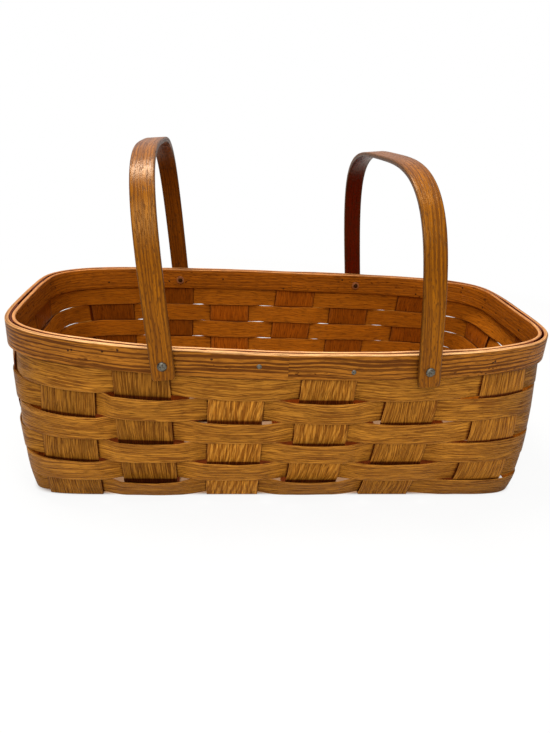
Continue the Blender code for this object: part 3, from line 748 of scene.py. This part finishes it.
# A grid of points round the wall: at each share v of the row's height, the outline there, plus the
# offset and lift that a monotone cubic carries through the knots
def makeHoop(row):
    shape = hoopShape
    top = weaveTop - row * rowPitch - 0.5 * form["rowGap"]
    bottom = top - rowPitch + form["rowGap"]
    middleRing = Ring(0.5 * (top + bottom))
    middleKnots = hoopKnots(middleRing, row, 0.5, 1.0, 0.0)[0]
    count = len(middleKnots)
    # the strip starts behind a stake of the left end that it passes inside
    start = next(4 * i + 1 for i in range(count // 4) if (i + row) % 2 == 0
                 and middleRing.at(middleKnots[4 * i + 1])[0] < shape["startBefore"])
    lengths = np.diff(np.append(middleKnots, middleKnots[0] + 1.0)) * middleRing.length
    order = (start + np.arange(count + shape["lapKnots"])) % count
    pieces = np.maximum(2, np.round(lengths[order] / shape["step"]).astype(int))
    turnKnots = np.concatenate([start + i + np.arange(n) / n for i, n in enumerate(pieces)])
    past = clamp((turnKnots - turnKnots[0] - count) / shape["lapEase"] + 1.0)
    lift = shape["footLift"] if row == rows - 1 else 0.0
    columns, offsets = [], []
    for v in np.linspace(0.0, 1.0, shape["columns"]):
        ring = Ring(bottom + (top - bottom) * v)
        held = 1.0 - (1.0 - shape["heldShare"]) * v if row == 0 else 1.0
        knots, values, lifts = hoopKnots(ring, row, v, held, lift * (1.0 - v))
        knots = np.concatenate([knots + turn for turn in range(-1, 4)])
        shares = np.interp(turnKnots + count, np.arange(5 * count), knots)
        offset = smoothThrough(knots, np.tile(values, 5), shares)
        edgeSeed = seeds["hoopEdge"] + 2 * row + (v > 0.5)
        stray = shape["edgeWander"] * wander(shares * ring.length, edgeSeed, shape["edgePitch"])
        points = ring.at(shares, offset - shape["lapDrop"] * past)
        points[:, 2] += stray * abs(2.0 * v - 1.0) + smoothThrough(knots, np.tile(lifts, 5), shares)
        columns.append(points)
        offsets.append(offset)
    # each face is covered where a stake lies against it: one knot either side of its middle; there it gets
    # painted shade
    fromMiddle = np.abs(np.mod(turnKnots + 1.0, 4.0) - 2.0)
    cover = clamp((shape["coverReach"] - fromMiddle) / shape["coverFade"])
    offset = offsets[shape["columns"] // 2]
    covers = [np.where(sign * offset > 0.0, cover, 0.0) for sign in (-1.0, 1.0)]
    spread = shape["toneSpread"]
    tone = np.random.default_rng(seeds["hoopTone"] + row).uniform(-spread, spread)
    makeSplint(f"weaver_hoop_{row + 1}", np.stack(columns, axis=1), covers, tone, 0.0,
               shape["paintedEndShades"], seeds["hoop"] + row, hoopOak, "hoop_oak")


for row in range(rows):
    makeHoop(row)
print("hoops made")


# Rim bands: thick strips whose tapered ends lap

bandShape = {
    "round": 0.0011,
    "roundSteps": 4,
    "faceSteps": 6,
    "lap": 0.070,
    "lapTip": 0.0005,
    "lapRamp": 0.008,
    "outerLapShare": 0.9457,
    "innerLapShare": 0.43,
    "step": 0.0018,
    "topWander": 0.0003, "topPitch": 0.16,
    # of the pale top edge, worn wood with a painted highlight, strongest at the front: its least share,
    # at the back; the share it loses round the ends, from this x and over this length; where it
    # begins and over what, in radii of the round edge
    "paleLeast": 0.35, "paleEndLoss": 0.5, "paleEndFrom": 0.17, "paleEndOver": 0.07,
    "paleDepth": 0.95, "paleFade": 0.4,
    "paintedShadeShare": 0.15,  # of the thickness, darkened with painted shade next to the stakes
}


# Ring of a rectangle with round corners, as pairs (u, v): quarter circles joined by straight faces
def roundedSection(width, height, radius):
    turns = np.linspace(0.0, 0.5 * math.pi, bandShape["roundSteps"] + 1)
    corners = []
    centres = ((width - radius, height - radius), (radius, height - radius),
               (radius, radius), (width - radius, radius))
    for quarter, (u, v) in enumerate(centres):
        angle = turns + 0.5 * quarter * math.pi
        corners.append(np.stack([u + radius * np.cos(angle), v + radius * np.sin(angle)], axis=1))
    t = (np.arange(1, bandShape["faceSteps"]) / bandShape["faceSteps"])[:, None]
    left = corners[1][-1] * (1 - t) + corners[2][0] * t
    right = corners[3][-1] * (1 - t) + corners[0][0] * t
    return np.concatenate([corners[0], corners[1], left, corners[2], corners[3], right])


# The section carried round the wall's outline at the rim, out for side 1 and in for side -1. Its
# near and far faces come together towards both ends, where the second lies on the first.
def makeBand(name, side, thickness, lapShare, seed):
    shape, ring = bandShape, Ring(rimTop)
    lap, ramp = shape["lap"] / ring.length, shape["lapRamp"] / ring.length
    turns = np.linspace(0.0, 1.0 + lap, int(ring.length * (1.0 + lap) / shape["step"]))
    tip = shape["lapTip"]
    rise = (tip + gap) * clamp((turns - 1.0 + ramp) / ramp)
    far = rise + np.where(turns < lap, tip + (thickness - tip) * turns / lap, thickness)
    near = rise + (thickness - tip) * np.maximum(turns - 1.0, 0.0) / lap
    section = roundedSection(thickness, form["bandWidth"], shape["round"])
    u, v = section[:, 0] / thickness, section[:, 1]
    stray = shape["topWander"] * wander(turns * ring.length, seed, shape["topPitch"])
    sections = []
    for share, height in zip(u, v):
        points = ring.at(lapShare + turns, side * (wallToBand + near + (far - near) * share))
        nominal = rimTop - form["bandWidth"] + height
        points[:, 2] = sagged(points[:, 0], nominal) + stray * (height / form["bandWidth"])
        sections.append(points)
    sections = np.stack(sections, axis=1)
    x, y = sections[..., 0], sections[..., 1]
    pale = shape["paleLeast"] + (1.0 - shape["paleLeast"]) * clamp(0.5 - y / rimHalfWidth)
    atEnds = clamp((np.abs(x) - shape["paleEndFrom"]) / shape["paleEndOver"])
    pale = pale * (1.0 - shape["paleEndLoss"] * atEnds)
    depth = (v - form["bandWidth"]) / shape["round"] + shape["paleDepth"]
    # the pale top edge: wear, with a painted highlight stronger to the front and weaker round the ends;
    # painted shade on the face next to the stakes
    marks = {"edge": pale * clamp(depth / shape["paleFade"]),
             "back": np.where(u < 0.5, 1.0, 0.0) if side > 0 else 1.0,
             "paintedShade": np.where(u < shape["paintedShadeShare"], 1.0, 0.0)}
    piece = skin(name + "_strip", sections, turns * ring.length, marks, seed, bandOak)
    settle(piece, "basket", name)


makeBand("outer_rim_band", 1.0, form["outerBand"], bandShape["outerLapShare"], seeds["outerBand"])
makeBand("inner_rim_band", -1.0, form["innerBand"], bandShape["innerLapShare"], seeds["innerBand"])
print("rim made")


# Handles: one thick strip each, bent to a bow between its two rivets

handleShape = {
    "width": 0.0200,
    "thickness": 0.0044,
    "round": 0.0012,
    "depth": 0.250,
    "powers": (3.4, 5.8),
    "pivotDrop": 0.0133,
    "sweepReach": 0.026,
    "burrRadius": 0.0046,
    "step": 0.0025,
    # the leg's end: heights above its tip in tail radii, and its width there as a share
    "tailRound": 0.0070, "tailClear": 1.5,
    "tailSteps": (1.0, 0.7, 0.4, 0.2, 0.08, 0.0),
    "tailWide": (1.0, 1.0, 0.99, 0.955, 0.90, 0.82),
    "edgeReach": 1.4,  # the dark edge, in radii of the round edge
    "backFrom": 0.6, "backOver": 0.3,  # of the thickness, where the inner face's colour begins
    # backTone: the share of the inner face's dark colour; the left handle's is smaller, a painted light where
    # more light falls on it
    "left": {"share": -0.428, "skew": 0.4, "lean": -5.9, "rise": 0.1705, "tail": 0.0128, "twist": 0.0006,
             "backTone": 0.55},
    "right": {"share": 0.430, "skew": 2.4, "lean": -6.1, "rise": 0.1685, "tail": 0.0145, "twist": -0.0033,
              "backTone": 1.0},
}


# How much the rim's outline turns inward under a burr, as a slope
def rimSlope(x):
    reach = handleShape["burrRadius"]
    return abs(sideAt(x + reach, rimTop) - sideAt(x - reach, rimTop)) / (2.0 * reach)


# Distance from the middle line to a band's face, offset square to the wall
def bandFace(x, offset):
    return sideAt(x, rimTop) + offset * math.hypot(1.0, rimSlope(x))


# Distance from the middle line to a leg's inner face: clear of the band over all that it sweeps
def legInnerFace(end):
    own, reach = handleShape[end], handleShape["sweepReach"]
    inward = abs(own["share"] * rimHalfLength) - reach - 0.5 * form["outerBand"]
    face = bandFace(inward, wallToBand + form["outerBand"])
    return face + gap + reach * math.sin(math.radians(abs(own["skew"])))


# From a handle's own axes to the basket's: skew about Z, then the pivot's place
def hingeMatrix(end):
    place = handleShape[end]["share"] * rimHalfLength
    height = float(sagged(place, rimTop - handleShape["pivotDrop"]))
    turn = Matrix.Rotation(math.radians(handleShape[end]["skew"]), 4, "Z")
    return Matrix.Translation((place, 0.0, height)) @ turn


def carried(points, matrix):
    return points @ np.array(matrix.to_3x3()).T + np.array(matrix.translation)


# The bow's outer face is |y/w|^p + |z/d|^q = 1 above the legs' straight tails; the section is
# carried along it, its thickness laid inward along the curve's normal. The warp moves it along
# the basket by twist * y * z / (w * rise), and the lean turns it about the hinge line.
def makeHandle(end, seed):
    shape, own, name = handleShape, handleShape[end], end + "_handle"
    thickness, width, tailRound = shape["thickness"], shape["width"], shape["tailRound"]
    outer = legInnerFace(end) + thickness
    y, z = quadrant(outer, shape["depth"], *shape["powers"])
    z = z + own["rise"] - shape["depth"]
    line = np.stack([y, z], axis=1)[z > shape["tailClear"] * tailRound - own["tail"]]
    length = lengthAlong(line)
    even = np.linspace(0.0, length[-1], int(length[-1] / shape["step"]))
    bend = np.stack([np.interp(even, length, line[:, 0]), np.interp(even, length, line[:, 1]),
                     np.ones(len(even))], axis=1)
    tailZ = tailRound * np.array(shape["tailSteps"]) - own["tail"]
    tail = np.stack([np.full(len(tailZ), outer), tailZ, shape["tailWide"]], axis=1)
    leg = np.concatenate([bend, tail])
    y, z, wide = np.concatenate([leg[:0:-1] * (-1.0, 1.0, 1.0), leg]).T[..., None]
    dy, dz = np.gradient(y, axis=0), np.gradient(z, axis=0)
    size = np.hypot(dy, dz)
    section = roundedSection(thickness, width, shape["round"])
    depth, across = section[:, 0], section[:, 1] - 0.5 * width
    warp = own["twist"] * (y / outer) * np.maximum(z, 0.0) / own["rise"]
    points = np.stack([wide * across + warp, y + dz / size * depth, z - dy / size * depth], axis=-1)
    lean = Matrix.Rotation(math.radians(own["lean"]), 4, "Y")
    points = carried(points.reshape(-1, 3), hingeMatrix(end) @ lean).reshape(points.shape)
    fromEdge = (np.abs(across) - 0.5 * width) / shape["round"]
    inner = clamp((depth / thickness - shape["backFrom"]) / shape["backOver"])
    # the inner face's dark colour, weakened on the left handle as painted light
    marks = {"edge": clamp(fromEdge + shape["edgeReach"]), "back": inner * own["backTone"]}
    piece = skin(name + "_bow", points, lengthAlong(points.mean(axis=1)), marks, seed, handleOak)
    settle(piece, name, name)


for end in ("left", "right"):
    makeHandle(end, seeds[end + "Handle"])
print("handles made")


# Rivets, burrs and rim nails: turned pieces

rivetShape = {
    "radius": 0.0017,
    "headRadius": 0.0042, "headHeight": 0.0020, "headRoundness": 0.8,
    "headSteps": 10, "domeFirst": 3,  # of those steps, the first one past the flat top
    "tailRadius": 0.0027, "tailHeight": 0.0011,
    "burrRadius": handleShape["burrRadius"], "burrThickness": 0.0009,
    "burrCut": 0.25,  # its edge's bevel as a share of the thickness
    "steps": 48,
    # ends of the head and the tail, as shares of their radius and height
    "headTop": ((0.0, 0.9), (0.25, 0.9)),
    "tailEnd": ((1.0, 0.0), (0.9, 0.7), (0.5, 1.0), (0.0, 0.9)),
}


# A profile of (radius, height) turned round Z in even steps: a ring where it starts off the axis,
# and otherwise closed at the axis by its two end points
def lathe(name, profile, steps, material, matrix):
    profile = np.array(profile)
    angles = np.linspace(0.0, 2.0 * math.pi, steps, endpoint=False)
    ring = np.stack([np.cos(angles), np.sin(angles)], axis=1)
    closed = profile[0, 0] > 0.0
    lines = profile if closed else profile[1:-1]
    count = len(lines)
    heights = np.broadcast_to(lines[:, None, 1:], (count, steps, 1))
    points = np.concatenate([lines[:, None, :1] * ring, heights], axis=2).reshape(-1, 3)
    i, j = np.meshgrid(np.arange(count if closed else count - 1), np.arange(steps), indexing="ij")
    k, following = (j + 1) % steps, (i + 1) % count
    quads = np.stack([i * steps + j, following * steps + j, following * steps + k, i * steps + k], axis=-1)
    faces = quads.reshape(-1, 4).tolist()
    if not closed:
        ends = [[0.0, 0.0, profile[0, 1]], [0.0, 0.0, profile[-1, 1]]]
        top, last = len(points), (count - 1) * steps
        points = np.concatenate([points, ends])
        around = [(n, (n + 1) % steps) for n in range(steps)]
        faces += [(top, a, b) for a, b in around]
        faces += [(top + 1, last + b, last + a) for a, b in around]
    return makePiece(name, carried(points, matrix), faces, material, meshShape["latheSharp"])


# A quarter of an ellipse from the axis down to the seat, as pairs (radius, height)
def domeProfile(radius, height, steps, roundness=1.0):
    turns = np.linspace(0.0, 0.5 * math.pi, steps)
    return [(radius * math.sin(t), height * math.cos(t) ** roundness) for t in turns]


# Head on the leg's outer face, shank through leg and rim, and burr and tail inside the rim, far
# enough in to clear the band's curve
def makeRivets(end):
    shape, thick, steps = rivetShape, rivetShape["burrThickness"], rivetShape["steps"]
    skew = math.radians(handleShape[end]["skew"])
    headSeat = legInnerFace(end) + handleShape["thickness"] + gap
    for side, wall in ((-1.0, "front"), (1.0, "back")):
        x = handleShape[end]["share"] * rimHalfLength - side * headSeat * math.sin(skew)
        leanIn = shape["burrRadius"] * (rimSlope(x) + math.sin(abs(skew)))
        burrSeat = bandFace(x, -wallToBand - form["innerBand"]) - leanIn - gap
        grip = headSeat - burrSeat + thick + gap
        seats = [hingeMatrix(end) @ Matrix.Translation((0.0, side * seat, 0.0))
                 @ Matrix.Rotation(-side * 0.5 * math.pi, 4, "X") for seat in (headSeat, burrSeat)]
        radius, height = shape["headRadius"], shape["headHeight"]
        dome = domeProfile(radius, height, shape["headSteps"], shape["headRoundness"])
        head = [(r * radius, h * height) for r, h in shape["headTop"]] + dome[shape["domeFirst"]:]
        tail = [(shape["radius"], 0.0), (shape["radius"], -grip)]
        tail += [(r * shape["tailRadius"], -grip - h * shape["tailHeight"]) for r, h in shape["tailEnd"]]
        rivet = lathe(f"{end}_{wall}_rivet", head + tail, steps, rivetSteel, seats[0])
        rivet.data.materials.append(bradSteel)  # the varnish's film covers all but the head
        filmed = np.arange(len(head) + len(tail) - 3) >= len(head) - 2
        slots = np.repeat([*filmed, False, True], steps)
        rivet.data.polygons.foreach_set("material_index", slots.astype(np.int32))
        bore, edge, cut = shape["radius"] + gap, shape["burrRadius"], shape["burrCut"] * thick
        ring = [(bore, 0.0), (edge - cut, 0.0), (edge, -cut),
                (edge, cut - thick), (edge - cut, -thick), (bore, -thick)]
        burr = lathe(f"{end}_{wall}_burr", ring, steps, burrSteel, seats[1])
        settle(rivet, "basket", f"{end}_handle_{wall}_rivet")
        settle(burr, "basket", f"{end}_handle_{wall}_burr")


for end in ("left", "right"):
    makeRivets(end)

nailShape = {
    "head": (0.0022, 0.0006),  # radius and height
    "brad": (0.0011, 0.0003),
    "seatDepth": 0.0004, "seatShare": 0.9,
    "domeSteps": 6,
    "steps": 20,
    # x and drop below the rim's top on the outer band's long side
    "heads": ((-0.0301, 0.0116), (0.0523, 0.0161)),
    "brads": ((-0.1908, 0.0101), (-0.1875, 0.0093), (-0.1615, 0.0071), (-0.1486, 0.0045), (-0.0698, 0.0066),
              (0.1822, 0.0121), (0.1843, 0.0110)),
    # x, y and drop of the clenched points on the inner band
    "points": ((-0.2503, -0.0472, 0.0066), (-0.2507, -0.0210, 0.0061), (-0.2507, -0.0040, 0.0116),
               (-0.2494, 0.0572, 0.0071), (-0.2474, 0.0679, 0.0136), (-0.1968, 0.1090, 0.0166),
               (-0.1265, 0.1221, 0.0151), (-0.1117, 0.1236, 0.0116), (-0.0605, 0.1267, 0.0111),
               (0.0164, 0.1276, 0.0217), (0.0901, 0.1252, 0.0066), (0.1083, 0.1239, 0.0146),
               (0.1838, 0.1126, 0.0197), (0.2334, 0.0905, 0.0045), (0.2490, 0.0602, 0.0096),
               (0.2486, 0.0625, 0.0202), (0.2507, 0.0300, 0.0160), (0.2507, -0.0280, 0.0156)),
}


# Place and outward turn of a nail on the band nearest (x, y), outer for side 1 and inner for -1,
# at a drop below the rim's top. Where the band laps, its face stands out by the lap's tip and gap.
def rimPlace(x, y, drop, side):
    band = "outer" if side > 0 else "inner"
    ring = Ring(rimTop)
    share = ring.shareOf(x, y)
    lapped = np.mod(share - bandShape[band + "LapShare"], 1.0) * ring.length < bandShape["lap"]
    step = bandShape["lapTip"] + gap if lapped else 0.0
    point = ring.at(share, side * (wallToBand + form[band + "Band"] + step), rimTop - drop)
    normal = Vector((*ring.sample(share)[2:], 0.0)) * side
    turn = Vector((0.0, 0.0, 1.0)).rotation_difference(normal).to_matrix().to_4x4()
    return Matrix.Translation(Vector(point)) @ turn


# A low dome with its seat just under the band's face
def makeNail(name, size, material, place):
    seat = -nailShape["seatDepth"]
    profile = domeProfile(*size, nailShape["domeSteps"])
    profile += [(nailShape["seatShare"] * size[0], seat), (0.0, seat)]
    settle(lathe(name, profile, nailShape["steps"], material, place), "basket", None)


for side, wall in ((-1.0, "front"), (1.0, "back")):
    for i, (x, drop) in enumerate(nailShape["heads"] + nailShape["brads"]):
        place = rimPlace(-side * x, side * sideAt(x, rimTop), drop, 1.0)
        isHead = i < len(nailShape["heads"])
        size, steel = (nailShape["head"], rivetSteel) if isHead else (nailShape["brad"], bradSteel)
        makeNail(f"rim_nail_{wall}_{i + 1}", size, steel, place)
for i, (x, y, drop) in enumerate(nailShape["points"]):
    makeNail(f"nail_point_{i + 1}", nailShape["brad"], bradSteel, rimPlace(x, y, drop, -1.0))
print("metal made")


# The room: a pale floor, a white background and soft light

room = {
    "floorSize": 30.0,
    "floorColour": (0.64, 0.62, 0.58),
    "floorGlow": 0.90,
    "floorRoughness": 0.9,
    # the floor's colour under the basket: a painted shadow
    "underShadowColour": (0.30, 0.17, 0.09),
    "underReach": (0.65, 1.30),  # values of the outline's formula over which the white begins
    "shadowReach": 0.45,  # within this distance the floor shows the basket's shadow
    "worldColour": (0.93, 0.95, 1.0),
    "worldStrength": 0.55,
    # power, size and place of each lamp, and the point that all face
    "lamps": {"key": (28.0, 0.62, (-0.36, 0.30, 1.75)), "top": (9.0, 0.36, (0.12, -0.40, 1.80)),
              "front": (34.0, 1.3, (-0.36, -1.80, 1.50))},
    "lampsFace": (0.0, 0.0, 0.1),
}
camera = {
    "place": (-0.06519, -0.60404, 0.34767),
    "pitch": 0.4105, "yaw": 0.10436, "roll": 0.06183,
    "focalPixels": 598.31, "imageHeight": 733.0, "sensor": 36.0, "clipStart": 0.01,
}
white = (1.0, 1.0, 1.0)


# A plane that the camera sees white, apart from the shadow round the basket. Under the basket,
# inside |x/a|^p + |y/b|^p = 1, the foot's outline, it has a painted shadow, dark brown.
def makeFloor():
    bpy.ops.mesh.primitive_plane_add(size=room["floorSize"], location=(0.0, 0.0, 0.0))
    floor = bpy.context.object
    floor.name = "floor"
    tree = Tree(bpy.data.materials.new("floorPaint"))
    place = tree.add("ShaderNodeTexCoord").outputs["Object"]
    split = tree.add("ShaderNodeSeparateXYZ", {"Vector": place})
    shares = [tree.math("ABSOLUTE", tree.math("DIVIDE", split.outputs[axis], size))
              for axis, size in (("X", footHalfLength), ("Y", footHalfWidth))]
    reach = tree.plus(*[tree.math("POWER", share, form["footPower"]) for share in shares])
    outside = tree.ramp(reach, *room["underReach"])
    distance = tree.add("ShaderNodeVectorMath", {"Vector": place}, operation="LENGTH").outputs["Value"]
    far = tree.ramp(distance, room["shadowReach"], 2.0 * room["shadowReach"])
    whiteness = tree.math("MAXIMUM", tree.times(outside, room["floorGlow"]), far)
    tree.plug(tree.shader.inputs["Base Color"], tree.mix(outside, room["underShadowColour"], room["floorColour"]))
    tree.plug(tree.shader.inputs["Roughness"], room["floorRoughness"])
    tree.plug(tree.shader.inputs["Specular IOR Level"], 0.0)
    glow = tree.add("ShaderNodeEmission", {"Color": white, "Strength": 1.0})
    seen = tree.add("ShaderNodeLightPath").outputs["Is Camera Ray"]
    tree.show(tree.times(seen, whiteness), tree.shader, glow, "Material Output")
    floor.data.materials.append(tree.owner)


# Soft light for the basket, and white where the camera sees it
def makeWorld():
    tree = Tree(bpy.data.worlds.new("studio"))
    bpy.context.scene.world = tree.owner
    soft = tree.nodes["Background"]
    tree.plug(soft.inputs["Color"], room["worldColour"])
    tree.plug(soft.inputs["Strength"], room["worldStrength"])
    rays = tree.add("ShaderNodeLightPath").outputs
    seen = tree.math("MAXIMUM", rays["Is Camera Ray"], rays["Is Transmission Ray"])
    tree.show(seen, soft, tree.add("ShaderNodeBackground", {"Color": white}), "World Output")


def addLamp(name, power, size, place):
    lamp = bpy.data.lights.new(name, "AREA")
    lamp.energy, lamp.size = power, size
    thing = addObject(name, lamp)
    thing.location = place
    aim = Vector(room["lampsFace"]) - Vector(place)
    thing.rotation_euler = aim.to_track_quat("-Z", "Y").to_euler()


# The camera looks along (sin yaw cos pitch, cos yaw cos pitch, -sin pitch), rolled about that line
def makeCamera():
    turns = ((-camera["yaw"], "Z"), (0.5 * math.pi - camera["pitch"], "X"), (camera["roll"], "Z"))
    yaw, pitch, roll = (Matrix.Rotation(angle, 4, axis) for angle, axis in turns)
    data = bpy.data.cameras.new("camera")
    data.sensor_width = camera["sensor"]
    data.lens = camera["focalPixels"] / camera["imageHeight"] * camera["sensor"]
    data.clip_start = camera["clipStart"]
    thing = addObject("camera", data)
    thing.matrix_world = Matrix.Translation(Vector(camera["place"])) @ yaw @ pitch @ roll
    bpy.context.scene.camera = thing


makeFloor()
makeWorld()
for name, lamp in room["lamps"].items():
    addLamp(name, *lamp)
makeCamera()
bpy.context.scene.view_settings.view_transform = "Standard"
print("room made")
